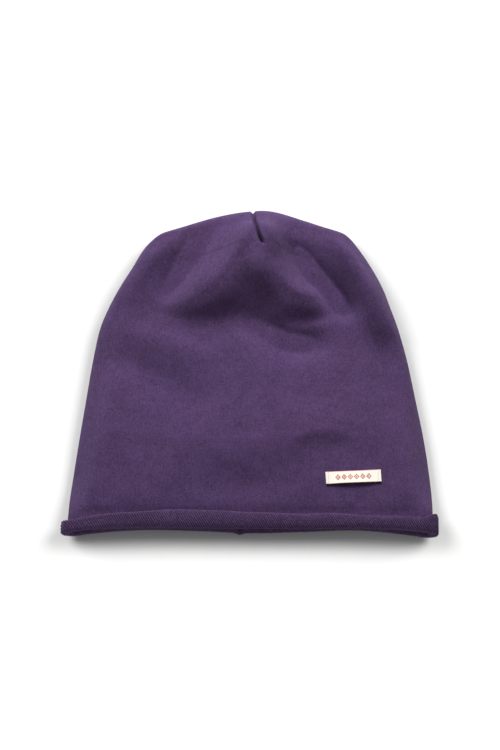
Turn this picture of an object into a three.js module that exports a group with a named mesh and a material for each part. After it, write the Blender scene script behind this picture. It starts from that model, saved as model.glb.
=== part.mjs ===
// A slouchy beanie cut from purple sweatshirt cloth, lying flat on its back with its front up.
// The crown is one piece of cloth, folded round at both sides, with a dart at the top of the front and a
// seam up the back. Its bottom edge is rolled outwards, and a woven label is sewn to the front.
// +X is the wearer's left, +Y points from the mouth to the top of the crown, and +Z is up, off the surface
// that the beanie lies on. The origin is under the middle of its box, on that surface. Millimetres.
// In the names below, left is towards -X and right is towards +X, as seen from above with the mouth nearest.
import * as THREE from "three";

// Driving dimensions.
const WALL = 2; // thickness of the cloth
const FOLD_ROUND = 7.5; // how far in from the outline a fold takes to reach its full height
const SIDE_SWELL = 26; // how far in from a side fold the front reaches its crest
const TOP_SWELL = 24; // how far down from the top edge the front reaches its crest
const LOWEST_FRONT = 11; // the front's outer face comes no closer to the surface
const LOWEST_SOFTNESS = 1; // how far from that limit the face starts to level out
const PIECE_GAP = 0.3; // between neighbouring pieces
const MIDDLE = { x: 0.16, y: -1.17 }; // the middle of the box, which is moved to the origin

// Cross-sections of the crown from the mouth to the top edge. side_y is where a section meets the side folds,
// left and right are the folds' places, rise is how far its middle lies above its ends, skew is how much
// higher its right end lies than its left, half is half of the height of the side folds, crest is the height
// of the front before its ridges and valleys, and lift that of the back's outer face above the surface.
const SECTION_COLUMNS = ["side_y", "left", "right", "rise", "skew", "half", "crest", "lift"];
const SECTIONS = [
  [-121, -128.9, 128.9, 2, 2, 5.2, 20, 6],
  [-112, -128.4, 129.6, 2, 1.5, 5.2, 20.4, 6],
  [-100, -127.8, 130.1, 2.5, 1, 5.3, 21, 2.2],
  [-84, -126, 128.8, 3, 0, 5.5, 21.5, 0],
  [-55, -123, 125.2, 4, 0, 5.9, 21.3, 0],
  [-25, -119.2, 121, 5, 0, 6.3, 20, 0],
  [7, -115, 116, 7, 0, 6.7, 18.1, 0],
  [31, -110.8, 111, 9, 0, 7, 17.4, 0],
  [47, -105.2, 106, 11, 0, 7.2, 17, 0],
  [64, -97.2, 100.4, 13, 0, 7.4, 17.2, 0],
  [80, -88.2, 92.8, 15, 0, 7.5, 17.5, 0],
  [96, -79.6, 83.4, 17, 0, 7.5, 17.5, 0],
  [109, -68, 74, 18.6, 0, 7.5, 17.5, 0],
];

// The top edge between its two corners: across is the share of the way from the left corner to the right one,
// and up the share of the last section's rise.
const GABLE_COLUMNS = ["across", "up"];
const GABLE = [
  [0, 0],
  [0.12, 0.31],
  [0.2, 0.52],
  [0.31, 0.77],
  [0.46, 0.98],
  [0.6, 1],
  [0.77, 0.61],
  [0.9, 0.24],
  [1, 0],
];

// Ridges and valleys of the front. Each runs from (x0, y0) through (xm, ym) to (x1, y1). z0, zm and z1 are
// its heights there, below 0 for a valley, and left_w and right_w are its widths beside its run.
const FOLD_COLUMNS = ["name", "x0", "y0", "xm", "ym", "x1", "y1", "z0", "zm", "z1", "left_w", "right_w"];
const FOLDS = [
  ["mound", -56, 44, -4, 76, 44, 52, 4, 9, 4, 26, 22],
  ["left ridge", 8, 94, -27, 70, -62, 42, 2, 4, 3, 13, 17],
  ["right ridge", 10, 94, 19, 74, 46, 50, 2, 3, 4, 13, 13],
  ["left valley", -22, 106, -48, 82, -70, 50, -3, -7, -3, 12, 12],
  ["right valley", 30, 98, 50, 71, 76, 48, -3, -8, -4, 11, 12],
  ["left arch", -74, 37, -40, 28, -4, 38, -1, -3, -2, 9, 18],
  ["right arch", -4, 38, 20, 26, 50, 20, -2, -4, -2, 10, 14],
  ["spur", 26, 37, 44, 35, 64, 40, -1, -1, -1, 7, 6],
  ["left shelf", -90, 34, -50, 12, -14, 4, 1, 2, 0, 14, 14],
  ["left hollow", -110, 22, -88, 8, -60, -4, -1, -1, -1, 14, 16],
  ["right groove", 84, 46, 98, 2, 110, -66, -2, -3, -1, 12, 7],
  ["right shoulder", 66, 46, 80, 24, 74, 4, 0, 2, 0, 8, 9],
  ["low step", 22, -76, 50, -50, 84, -58, 1, 2, 1, 26, 14],
];
const FOLD_STEPS = 12; // straight steps that stand for each fold's bent run
const SIDE_BLEND = 3; // how far a fold takes to change from one width to the other

// The dart in the top of the front, a sewn crease that runs from the top edge down to its foot.
const DART = { top_x: 3, foot_x: 10.5, foot_y: 92, deep: 6, half_width: 2.2, inner_half_width: 3.8 };
const DART_RUN_OUT = 10; // how far up from its foot the dart reaches its full depth
const DART_BEND = 0.6; // below 1, so that the dart leans more towards its foot
const NOTCH = 2; // how far the dart pulls the top edge down
const NOTCH_REACH = 6; // how far down from the top edge that pull reaches
// The seam up the back, a shallow groove that runs from the mouth to the top edge.
const BACK_SEAM = { hem_x: -6.5, deep: 0.7, half_width: 2 };

// The rolled edge: how far it reaches below and above the crown's bottom edge, how far it stands off the
// cloth on the flats and at the side folds, and how far its raw edge is tucked in.
const ROLL = { below: 8.6, above: 6.2, flat_height: 6, side_height: 5, tuck: 3, side_reach: 16 };
const TUCK_GAP = 0.4; // between the tucked edge and the crown

// The woven label, by its middle, its size and its turn in degrees. bow is how far its middle stands up.
const LABEL = { x: 74.3, y: -88.4, width: 39.6, height: 9.8, thick: 0.9, turn: 3.2, bow: 0.8 };
const LABEL_CLEARANCE = 0.5; // between the label and the crown

// How finely the surfaces are divided.
const TURN_STEPS = 4; // round a side fold or the top edge, from the outline to the flat
const MIDDLE_COLUMNS = 10; // from a side fold to the middle line
const DART_OFFSETS = [0, 1.1, 2.5, 5.2]; // columns beside the dart
const BUNCHING = { starts_below_foot: 24, ends_below_foot: 4 }; // where those columns draw together
const LOW_ROWS = 8;
const LOW_CROWDING = 1.35; // above 1, so that the low rows lie closer together near the mouth
const HIGH_ROWS = 13;
const LOW_END_Y = 0; // where the high rows begin
const GABLE_ONSET = 3; // the higher, the nearer to the top edge a row takes on the top edge's shape
const LOW_ARC_STEPS = 5; // round the roll's lower turn
const HIGH_ARC_STEPS = 4; // round the roll's upper turn
const LABEL_COLUMNS = 10;
const LABEL_ROWS = 2;
const SAME_PLACE = 1e-5; // points closer than this are one vertex

const mix = (a, b, share) => a + (b - a) * share;
const clamp01 = (v) => Math.min(1, Math.max(0, v));
const smooth = (v) => clamp01(v) ** 2 * (3 - 2 * clamp01(v));
const bell = (v) => Math.exp(-v * v);
const rowsOf = (columns, table) =>
  table.map((row) => Object.fromEntries(columns.map((column, i) => [column, row[i]])));

const sections = rowsOf(SECTION_COLUMNS, SECTIONS);
const gableRows = rowsOf(GABLE_COLUMNS, GABLE);
const LEAST = { lift: 0 }; // the curve through the rows goes no lower
const HEM = sections[0];
const TOP = sections[sections.length - 1];

// A table's column at a value of its key column, on one smooth curve through the rows.
function tableAt(table, key, column, at) {
  const last = table.length - 1;
  let i = 0;
  while (i < last - 1 && table[i + 1][key] < at) i += 1;
  const slope = (a, b) => (table[b][column] - table[a][column]) / (table[b][key] - table[a][key]);
  const slopeAt = (n) => slope(Math.max(0, n - 1), Math.min(last, n + 1));
  const span = table[i + 1][key] - table[i][key];
  const u = clamp01((at - table[i][key]) / span);
  return (
    (1 + 2 * u) * (1 - u) ** 2 * table[i][column] +
    u * (1 - u) ** 2 * span * slopeAt(i) +
    u * u * (3 - 2 * u) * table[i + 1][column] +
    u * u * (u - 1) * span * slopeAt(i + 1)
  );
}

const section = (column, y) => Math.max(tableAt(sections, "side_y", column, y), LEAST[column] ?? -Infinity);
const gable = (across) => tableAt(gableRows, "across", "up", clamp01(across));
const topEdge = (x) => TOP.side_y + TOP.rise * gable((x - TOP.left) / (TOP.right - TOP.left));

// The folds as runs of short straight steps.
const folds = rowsOf(FOLD_COLUMNS, FOLDS).map((fold) => {
  // The middle control point that makes the run pass through (xm, ym).
  const cx = 2 * fold.xm - (fold.x0 + fold.x1) / 2;
  const cy = 2 * fold.ym - (fold.y0 + fold.y1) / 2;
  const run = [];
  for (let i = 0; i <= FOLD_STEPS; i += 1) {
    const u = i / FOLD_STEPS;
    run.push({
      x: (1 - u) ** 2 * fold.x0 + 2 * u * (1 - u) * cx + u * u * fold.x1,
      y: (1 - u) ** 2 * fold.y0 + 2 * u * (1 - u) * cy + u * u * fold.y1,
    });
  }
  return { ...fold, run };
});

// Height that one fold adds at a place.
function foldAt(fold, x, y) {
  let nearest = Infinity;
  let share = 0;
  let side = 0;
  for (let i = 0; i < FOLD_STEPS; i += 1) {
    const a = fold.run[i];
    const bx = fold.run[i + 1].x - a.x;
    const by = fold.run[i + 1].y - a.y;
    const t = clamp01(((x - a.x) * bx + (y - a.y) * by) / (bx * bx + by * by));
    const qx = x - a.x - t * bx;
    const qy = y - a.y - t * by;
    if (qx * qx + qy * qy < nearest) {
      nearest = qx * qx + qy * qy;
      share = (i + t) / FOLD_STEPS;
      side = (bx * qy - by * qx) / Math.hypot(bx, by);
    }
  }
  const high =
    fold.z0 * (1 - share) * (1 - 2 * share) +
    4 * fold.zm * share * (1 - share) +
    fold.z1 * share * (2 * share - 1);
  const width = mix(fold.right_w, fold.left_w, 0.5 + 0.5 * Math.tanh(side / SIDE_BLEND));
  return high * bell(Math.sqrt(nearest) / width);
}

// Height of the front's outer face away from its outline, without the dart.
function frontHeight(x, y) {
  const half = section("half", y);
  const foldMiddle = section("lift", y) + half;
  const swell =
    smooth((x - section("left", y)) / SIDE_SWELL) *
    smooth((section("right", y) - x) / SIDE_SWELL) *
    smooth((topEdge(x) - y) / TOP_SWELL);
  const plain = mix(foldMiddle + half, section("crest", y), swell);
  const high = folds.reduce((sum, fold) => sum + foldAt(fold, x, y), plain);
  // The lower limit is approached smoothly.
  const over = high - LOWEST_FRONT;
  return LOWEST_FRONT + (over + Math.hypot(over, LOWEST_SOFTNESS)) / 2;
}

// How much thicker the wall measures straight down than across, where it slopes.
function slopeFactor(x, y) {
  const step = 1;
  const dx = (frontHeight(x + step, y) - frontHeight(x - step, y)) / (2 * step);
  const dy = (frontHeight(x, y + step) - frontHeight(x, y - step)) / (2 * step);
  return Math.hypot(dx, dy, 1);
}

// Rows from the mouth to the top edge: the y of their ends, and their turn, an angle that is 0 on the top
// edge and a right angle from the flat on.
function makeRows() {
  const list = [];
  const highest = TOP.side_y - FOLD_ROUND;
  const flat = Math.PI / 2;
  for (let i = 0; i < LOW_ROWS; i += 1) {
    list.push({ y: mix(HEM.side_y, LOW_END_Y, (i / LOW_ROWS) ** LOW_CROWDING), turn: flat });
  }
  for (let i = 0; i <= HIGH_ROWS; i += 1) {
    list.push({ y: mix(LOW_END_Y, highest, i / HIGH_ROWS), turn: flat });
  }
  for (let i = TURN_STEPS - 1; i >= 0; i -= 1) {
    const turn = (flat * i) / TURN_STEPS;
    list.push({ y: TOP.side_y - FOLD_ROUND * (1 - Math.cos(turn)), turn });
  }
  return list;
}

const FOOT_ROW_Y = DART.foot_y - TOP.rise; // the row whose middle is at the dart's foot

// The line that the middle column follows: the dart on the front and the seam on the back.
function middleLine(side, y) {
  if (side === "back") return mix(BACK_SEAM.hem_x, DART.top_x, (y - HEM.side_y) / (TOP.side_y - HEM.side_y));
  if (y < FOOT_ROW_Y) return mix(0, DART.foot_x, smooth((y - HEM.side_y) / (FOOT_ROW_Y - HEM.side_y)));
  return mix(DART.foot_x, DART.top_x, ((y - FOOT_ROW_Y) / (TOP.side_y - FOOT_ROW_Y)) ** DART_BEND);
}

// A row's columns from the left fold to the right one, as places and turns.
function makeColumns(side, row) {
  const middle = middleLine(side, row.y);
  const { starts_below_foot: start, ends_below_foot: end } = BUNCHING;
  const bunched = smooth((row.y - FOOT_ROW_Y + start) / (start - end));
  const half = (edge, sign) => {
    const columns = [];
    for (let i = 0; i < TURN_STEPS; i += 1) {
      const turn = ((Math.PI / 2) * i) / TURN_STEPS;
      columns.push({ x: edge + sign * FOLD_ROUND * (1 - Math.cos(turn)), turn, sign });
    }
    const flat = edge + sign * FOLD_ROUND;
    const beside = DART_OFFSETS.length - 1;
    for (let i = 0; i <= MIDDLE_COLUMNS; i += 1) {
      const even = mix(flat, middle, i / MIDDLE_COLUMNS);
      const near = middle - sign * (DART_OFFSETS[MIDDLE_COLUMNS - i] ?? 0);
      const spread = mix(flat, middle - sign * DART_OFFSETS[beside], i / (MIDDLE_COLUMNS - beside));
      const packed = i > MIDDLE_COLUMNS - beside ? near : spread;
      columns.push({ x: mix(even, packed, bunched), turn: Math.PI / 2, sign });
    }
    return columns;
  };
  const left = half(section("left", row.y), 1);
  const right = half(section("right", row.y), -1);
  return [...left, ...right.reverse().slice(1)];
}

// A point of the cloth. depth is 0 on the outer face and WALL on the inner one.
function clothPoint(side, row, column, depth) {
  const left = section("left", row.y);
  const right = section("right", row.y);
  const across = (column.x - left) / (right - left);
  const nearTop = clamp01((row.y - HEM.side_y) / (TOP.side_y - HEM.side_y)) ** GABLE_ONSET;
  const arch = mix(4 * across * (1 - across), gable(across), nearTop);
  const off = column.x - middleLine(side, row.y);
  const y = row.y + section("rise", row.y) * arch + section("skew", row.y) * (across - 0.5);
  const inFold = Math.sin(row.turn) * Math.sin(column.turn);
  const half = section("half", row.y);
  const foldMiddle = section("lift", row.y) + half;
  const notch = NOTCH * bell(off / DART.half_width) * smooth(1 - (topEdge(column.x) - y) / NOTCH_REACH);
  const placeX = column.x + column.sign * depth * Math.cos(column.turn);
  const placeY = y - notch - depth * Math.cos(row.turn);
  if (side === "back") {
    const groove = BACK_SEAM.deep * bell(off / BACK_SEAM.half_width);
    return new THREE.Vector3(placeX, placeY, foldMiddle - inFold * (half - groove - depth));
  }
  const creaseWidth = depth > 0 ? DART.inner_half_width : DART.half_width;
  const crease = DART.deep * bell(off / creaseWidth) * smooth((y - DART.foot_y) / DART_RUN_OUT);
  const thick = depth > 0 ? depth * slopeFactor(column.x, y) : 0;
  const high = frontHeight(column.x, y) - crease - thick - foldMiddle;
  return new THREE.Vector3(placeX, placeY, foldMiddle + inFold * Math.max(high, half - depth));
}

// The ring of points round a row: the front from left to right, then the back from right to left.
function ring(row, depth) {
  const front = makeColumns("front", row).map((column) => clothPoint("front", row, column, depth));
  const back = makeColumns("back", row).map((column) => clothPoint("back", row, column, depth));
  return [...front, ...back.reverse().slice(1, -1)];
}

// Faces are added as quads of points. Points at one place become one vertex.
class Solid {
  constructor() {
    this.places = [];
    this.index = [];
    this.known = new Map();
  }
  vertex(p) {
    const key = [p.x, p.y, p.z].map((v) => Math.round(v / SAME_PLACE)).join(",");
    if (!this.known.has(key)) {
      this.known.set(key, this.places.length / 3);
      this.places.push(p.x - MIDDLE.x, p.y - MIDDLE.y, p.z);
    }
    return this.known.get(key);
  }
  triangle(a, b, c) {
    const ids = [a, b, c].map((p) => this.vertex(p));
    if (new Set(ids).size === 3) this.index.push(...ids);
  }
  quad(a, b, c, d) {
    // Split along the shorter diagonal.
    if (a.distanceTo(c) < b.distanceTo(d)) {
      this.triangle(a, b, c);
      this.triangle(a, c, d);
    } else {
      this.triangle(a, b, d);
      this.triangle(b, c, d);
    }
  }
  mesh(name, material) {
    const geometry = new THREE.BufferGeometry();
    geometry.setAttribute("position", new THREE.Float32BufferAttribute(this.places, 3));
    geometry.setIndex(this.index);
    geometry.computeVertexNormals();
    const mesh = new THREE.Mesh(geometry, new THREE.MeshStandardMaterial(material));
    mesh.name = name;
    return mesh;
  }
}

const rows = makeRows();

function makeCrown() {
  const solid = new Solid();
  for (const depth of [0, WALL]) {
    const rings = rows.map((row) => ring(row, depth));
    const count = rings[0].length;
    const turned = depth > 0;
    for (let r = 0; r < rows.length - 1; r += 1) {
      for (let i = 0; i < count; i += 1) {
        const j = (i + 1) % count;
        const corners = [rings[r][i], rings[r][j], rings[r + 1][j], rings[r + 1][i]];
        solid.quad(...(turned ? corners.reverse() : corners));
      }
    }
  }
  // The raw edge at the bottom.
  const outer = ring(rows[0], 0);
  const inner = ring(rows[0], WALL);
  outer.forEach((p, i) => {
    const j = (i + 1) % outer.length;
    solid.quad(inner[i], inner[j], outer[j], p);
  });
  return solid;
}

// The middle line of the rolled edge's section, from the crown's bottom edge outwards, up and in again.
// down is measured from that edge towards the mouth and out from the middle of the cloth.
function rollLine(height) {
  const line = [];
  const lowRadius = height / 2;
  const half = WALL / 2;
  const tuckOut = WALL + TUCK_GAP;
  const highRadius = (height - tuckOut) / 2;
  const arc = (down, out, radius, from, to, steps) => {
    for (let i = 0; i <= steps; i += 1) {
      const angle = mix(from, to, i / steps);
      line.push({ down: down + radius * Math.cos(angle), out: out + radius * Math.sin(angle) });
    }
  };
  line.push({ down: PIECE_GAP, out: 0 });
  arc(ROLL.below - half - lowRadius, lowRadius, lowRadius, -Math.PI / 2, Math.PI / 2, LOW_ARC_STEPS);
  const highTurn = -ROLL.above + half + highRadius;
  arc(highTurn, tuckOut + highRadius, highRadius, Math.PI / 2, Math.PI * 1.5, HIGH_ARC_STEPS);
  line.push({ down: ROLL.tuck, out: tuckOut });
  return line;
}

// The closed outline of the section: the line moved half the wall to each side.
function rollOutline(height) {
  const line = rollLine(height);
  const sideOf = (sign) =>
    line.map((p, i) => {
      const before = line[Math.max(0, i - 1)];
      const after = line[Math.min(line.length - 1, i + 1)];
      const long = Math.hypot(after.down - before.down, after.out - before.out);
      return {
        down: p.down + ((sign * (after.out - before.out)) / long) * (WALL / 2),
        out: p.out - ((sign * (after.down - before.down)) / long) * (WALL / 2),
      };
    });
  return [...sideOf(1), ...sideOf(-1).reverse()];
}

function makeRolledHem() {
  // Rings of the outer face at the bottom edge and a little above it give the way up along the cloth.
  const low = ring(rows[0], 0);
  const high = ring(rows[1], 0);
  const count = low.length;
  const stations = low.map((p, i) => {
    const before = low[(i + count - 1) % count];
    const after = low[(i + 1) % count];
    const outwards = new THREE.Vector3(before.z - after.z, 0, after.x - before.x).normalize();
    const up = high[i].clone().sub(p).divideScalar(high[i].y - p.y);
    const atSide = 1 - smooth(Math.min(p.x - HEM.left, HEM.right - p.x) / ROLL.side_reach);
    const outline = rollOutline(mix(ROLL.flat_height, ROLL.side_height, atSide));
    return outline.map(({ down, out }) => {
      // Above the bottom edge the roll follows the cloth, and below it goes on straight.
      const base = down < 0 ? p.clone().addScaledVector(up, -down) : p.clone().setY(p.y - down);
      return base.addScaledVector(outwards, out - WALL / 2);
    });
  });
  const solid = new Solid();
  stations.forEach((station, i) => {
    const next = stations[(i + 1) % count];
    station.forEach((p, k) => {
      const l = (k + 1) % station.length;
      solid.quad(p, next[k], next[l], station[l]);
    });
  });
  return solid;
}

// The points of one of the label's faces, row by row. above is 0 for the lower face.
function labelFace(above) {
  const turn = THREE.MathUtils.degToRad(LABEL.turn);
  const face = [];
  for (let r = 0; r <= LABEL_ROWS; r += 1) {
    const line = [];
    for (let i = 0; i <= LABEL_COLUMNS; i += 1) {
      const u = (i / LABEL_COLUMNS - 0.5) * LABEL.width;
      const v = (r / LABEL_ROWS - 0.5) * LABEL.height;
      const x = LABEL.x + u * Math.cos(turn) - v * Math.sin(turn);
      const y = LABEL.y + u * Math.sin(turn) + v * Math.cos(turn);
      // The lower edge stands up most, halfway between the sewn ends.
      const bow = LABEL.bow * Math.cos((Math.PI * u) / LABEL.width) * (1 - r / LABEL_ROWS);
      line.push(new THREE.Vector3(x, y, frontHeight(x, y) + LABEL_CLEARANCE + bow + above));
    }
    face.push(line);
  }
  return face;
}

function makeLabel() {
  const solid = new Solid();
  const upper = labelFace(LABEL.thick);
  const lower = labelFace(0);
  for (let r = 0; r < LABEL_ROWS; r += 1) {
    for (let i = 0; i < LABEL_COLUMNS; i += 1) {
      solid.quad(upper[r][i], upper[r][i + 1], upper[r + 1][i + 1], upper[r + 1][i]);
      solid.quad(lower[r + 1][i], lower[r + 1][i + 1], lower[r][i + 1], lower[r][i]);
    }
  }
  const rimOf = (face) => [
    ...face[0],
    ...face.slice(1).map((line) => line[LABEL_COLUMNS]),
    ...face[LABEL_ROWS].slice(0, -1).reverse(),
    ...face.slice(1, -1).map((line) => line[0]).reverse(),
  ];
  const upperRim = rimOf(upper);
  const lowerRim = rimOf(lower);
  upperRim.forEach((p, i) => {
    const j = (i + 1) % upperRim.length;
    solid.quad(lowerRim[i], lowerRim[j], upperRim[j], p);
  });
  return solid;
}

const beanie = new THREE.Group();
beanie.name = "beanie";
beanie.add(makeCrown().mesh("crown", { color: 0x5a426e, roughness: 0.95, metalness: 0 }));
beanie.add(makeRolledHem().mesh("rolled_hem", { color: 0x4f3a63, roughness: 1, metalness: 0 }));
beanie.add(makeLabel().mesh("label", { color: 0xf3ead8, roughness: 0.85, metalness: 0 }));

export default beanie;
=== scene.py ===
# A slouchy beanie of purple sweatshirt jersey, lying flat on its back with its front up.
# The crown is one piece of jersey, folded round at both sides, with a dart at the top of the front and a
# seam up the back. Its bottom edge is rolled outwards and shows the looped side of the jersey, and a woven
# label is sewn to the front. Names say left for -X and right for +X, as seen from above with the mouth
# nearest. Lengths in the tables and functions are millimetres, and meshes are made in metres.

import math

import bpy
import numpy as np
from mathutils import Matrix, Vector, noise


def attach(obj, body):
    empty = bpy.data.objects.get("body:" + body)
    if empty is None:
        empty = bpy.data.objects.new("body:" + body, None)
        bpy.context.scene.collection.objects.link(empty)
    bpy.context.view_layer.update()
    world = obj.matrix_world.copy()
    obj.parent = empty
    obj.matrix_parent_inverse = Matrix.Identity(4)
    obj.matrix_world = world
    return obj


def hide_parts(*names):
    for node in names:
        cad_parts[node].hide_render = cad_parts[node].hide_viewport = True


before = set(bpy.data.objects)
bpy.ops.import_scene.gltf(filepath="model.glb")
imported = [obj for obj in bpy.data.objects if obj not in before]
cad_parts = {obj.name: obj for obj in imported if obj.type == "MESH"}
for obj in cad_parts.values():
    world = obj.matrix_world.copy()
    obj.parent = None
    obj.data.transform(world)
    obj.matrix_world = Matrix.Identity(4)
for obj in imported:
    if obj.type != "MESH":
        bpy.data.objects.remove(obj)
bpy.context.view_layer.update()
bpy.ops.object.select_all(action="DESELECT")

MM = 0.001  # in metres
MIDDLE = (0.16, -1.17)  # where the frame's origin lies, in the tables' millimetres

# The cloth and how it lies
CLOTH = 2.0  # thickness of the jersey
PATTERN = 640  # millimetres of cloth from one side of its texture map to the other
MAP_MIDDLE = 0.5
MAP_EDGE = 0.02  # how far inside the texture map the cloth begins
FOLD_ROUND = 7.5  # how far in from the outline a fold takes to reach its full height
SIDE_SWELL = 19  # how far in from a side fold the front reaches its crest
TOP_SWELL = 24  # how far down from the top edge the front reaches its crest
LOWEST_FRONT = 11  # the front comes no closer to the surface that it lies on
LOWEST_SOFTNESS = 1  # how far from that limit the cloth starts to level out

# Cross-sections of the crown from the mouth to the top edge. side_y is where a section meets the side folds,
# left and right are the folds' places, rise is how far its middle lies above its ends, skew is how much
# higher its right end lies than its left, half is half of the height of the side folds, crest is the height
# of the front before its ridges and valleys, and lift that of the back above the surface.
SECTION_COLUMNS = ("side_y", "left", "right", "rise", "skew", "half", "crest", "lift")
SECTIONS = (
    (-121, -128.9, 130.2, 2, 2, 5.2, 18.6, 6),
    (-114, -128.5, 130.6, 2, 1.6, 5.2, 19.2, 6),
    (-109, -128.3, 130.8, 2.1, 1.3, 5.2, 20.2, 5),
    (-100, -128, 130.8, 2.5, 1, 5.3, 20.9, 2.2),
    (-84, -126.4, 130, 3, 0, 5.5, 21.3, 0),
    (-55, -123, 126.8, 4, 0, 5.9, 21.3, 0),
    (-25, -119.2, 122, 5, 0, 6.3, 20, 0),
    (7, -115, 116.6, 7, 0, 6.7, 18.1, 0),
    (31, -110.8, 111, 9, 0, 7, 17.4, 0),
    (47, -105.2, 106, 11, 0, 7.2, 17, 0),
    (64, -97.2, 100.4, 13, 0, 7.4, 17.2, 0),
    (80, -88.2, 92.8, 15, 0, 7.5, 17.5, 0),
    (96, -79.6, 83.4, 17, 0, 7.5, 17.5, 0),
    (109, -68, 74, 19.8, 0, 7.5, 17.5, 0),
)

# The top edge between its two corners: across is the share of the way from the left corner to the right one,
# and up the share of the last section's rise.
GABLE_COLUMNS = ("across", "up")
GABLE = (
    (0, 0),
    (0.12, 0.31),
    (0.2, 0.52),
    (0.31, 0.77),
    (0.46, 0.98),
    (0.6, 1),
    (0.77, 0.61),
    (0.9, 0.24),
    (1, 0),
)

# Ridges and valleys of the front. Each row has a name, the three places that the fold runs through, as x and
# y, its heights at those places, below 0 for a valley, and its widths to the left and right of its run.
FOLDS = (
    ("left ridge", -58, 42, -20, 65, 1, 108, 3, 13, 7, 17, 20),
    ("right ridge", 13, 114, 24, 62, 55, 52, 8, 10, 7, 12, 16),
    ("middle slope", 4, 82, 8, 70, 12, 58, 4, 6, 4, 12, 12),
    ("left valley", -30, 116, -45, 86, -64, 50, -4, -8, -4, 9, 9),
    ("right valley", 32, 98, 50, 71, 73, 41, -3, -9, -7, 8, 9),
    ("left flap", -52, 110, -78, 80, -96, 46, 1, 4, 2, 9, 12),
    ("right flap", 54, 112, 80, 75, 106, 20, 1, 10, 4, 9, 12),
    ("dart left", -10, 82, -3, 98, -1, 112, 1, 5, 5, 8, 7),
    ("dart right", 17, 82, 17, 98, 12, 112, 1, 5, 5, 7, 6),
    ("left arch", -76, 45, -42, 33, 0, 41, -2, -3, -2, 9, 15),
    ("right arch", -4, 41, 26, 19, 56, 18, -2, -7, -4, 12, 14),
    ("spur", 26, 37, 44, 35, 64, 40, -1, -2, -1, 6, 5),
    ("left shelf", -96, 30, -56, 14, -20, -2, 0, 2, 1, 12, 12),
    ("left hollow", -116, 22, -70, -10, -26, -36, -1, -3, -2, 13, 20),
    ("right groove", 88, 30, 98, -4, 112, -70, -1, -4, -1, 10, 9),
    ("middle swell", -44, -60, 0, -58, 36, -56, 1, 3, 1, 50, 28),
    ("low step", 20, -68, 50, -52, 84, -60, 1, 3, 1, 18, 10),
    ("low hollow", -40, -98, -8, -94, 24, -98, -1, -2, -1, 13, 12),
)
FOLD_STEPS = 40  # straight steps that stand for a fold's bent run
SIDE_BLEND = 3  # how far a fold takes to change from one width to the other

# The dart in the top of the front, a sewn crease that runs from the top edge down to its foot. The smaller
# bend is, the more the crease bends near its foot.
DART = {"top_x": 3, "foot_x": 16, "foot_y": 90, "deep": 8, "half_width": 1.1, "run_out": 5, "bend": 0.35}
NOTCH = 2  # how far the dart pulls the top edge down
NOTCH_REACH = 6  # how far down from the top edge that pull reaches
# The seam up the back, a shallow groove that runs from the mouth to the top edge.
BACK_SEAM = {"hem_x": -6.5, "deep": 0.7, "half_width": 1.6}

# Soft unevenness of the lying cloth: how wide its waves are and how high.
WAVES = ((34, 0.5), (15, 0.22), (7, 0.08))
WAVES_APART = 3.7  # sets the waves of one width off from those of the next

# How finely the crown is divided.
TURN_STEPS = 8  # round a side fold or the top edge, from the outline to the flat
FRONT_COLUMNS = 72  # from a side fold to the middle line
BACK_COLUMNS = 44  # the same on the back
FLAT_ROWS = 150  # from the mouth to where the top edge turns down
ROWS_PACKED = 1.1  # above 1, so that the rows lie closer together at the mouth
COLUMNS_PACKED = 1.4  # above 1, so that the columns lie closer together beside the dart
PACKED_FROM, PACKED_TO = 20, 80  # the columns change over between these heights
MERGE = 1e-6  # points closer than this become one, in metres

# The rolled hem at shares of the way along the mouth, from the left side fold to the right one: how far it
# reaches below and above the crown's bottom edge, how far it stands off the crown, and how square its
# cross-section is, where 2 is an ellipse.
HEM_COLUMNS = ("across", "below", "above", "off", "box")
FRONT_HEM = (
    (0, 5.8, 3, 4.2, 6),
    (0.02, 5.8, 2, 4.4, 5),
    (0.08, 5.4, 3.8, 4.6, 4),
    (0.2, 5.4, 5.8, 5, 2.8),
    (0.35, 6.4, 6.4, 5, 2.4),
    (0.5, 7.4, 4, 5, 2.4),
    (0.65, 7.6, 2.8, 5, 2.4),
    (0.8, 7.2, 2.2, 5.4, 2.6),
    (0.9, 7.8, 0.6, 6, 3.2),
    (0.97, 8.6, 1.4, 5.6, 4.4),
    (1, 9, 5.4, 4, 6),
)
BACK_HEM = (
    (0, 5.8, 3, 4.2, 6),
    (0.06, 3.6, 3, 4.4, 4),
    (0.2, 2, 5, 5, 2.6),
    (0.35, 3.6, 6, 5, 2.4),
    (0.5, 5.8, 6, 5, 2.4),
    (0.65, 5, 6, 5, 2.4),
    (0.8, 3.6, 6, 5, 2.6),
    (0.94, 6.6, 6.5, 4.6, 4),
    (1, 9, 5.4, 4, 6),
)
HEM_STATIONS = 512  # round the mouth
HEM_STEPS = 34  # round the roll
HEM_CLOTH = 1.7  # thickness of the jersey where it is rolled
HEM_LIP = 0.3  # the hem begins this far below the crown's edge
HEM_LEAST = 0.1  # the roll's middle counts as at least this far below the lip
HEM_GAP = 0.15  # between the tucked cloth and the crown
TUCK = 3.2  # how far the raw edge is tucked in
TUCK_POINTS = (0.35, 0.7, 1)  # shares of the tuck where its points lie
UP_STEP = 4.0  # how far up the crown the way up the cloth is measured
# The turns given to the lip and the tuck, which are past those where loops show.
LIP_TURN = -2.0
TUCK_TURN = 9.0

# Unevenness of the roll: how wide its waves are along the mouth and through the cloth, and how high. Its
# upper edge wanders by millimetres, and its thickness by a share that also changes round the roll.
EDGE_WANDER = {"wide": 23, "through": 9, "high": 0.9, "shift": 5.1}
ROLL_WANDER = {"wide": 11, "through": 7, "high": 0.05, "round": 3}
SEAM_BUMP = {"high": 1.6, "half_width": 3.2}  # where the back seam's layers are rolled in
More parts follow.
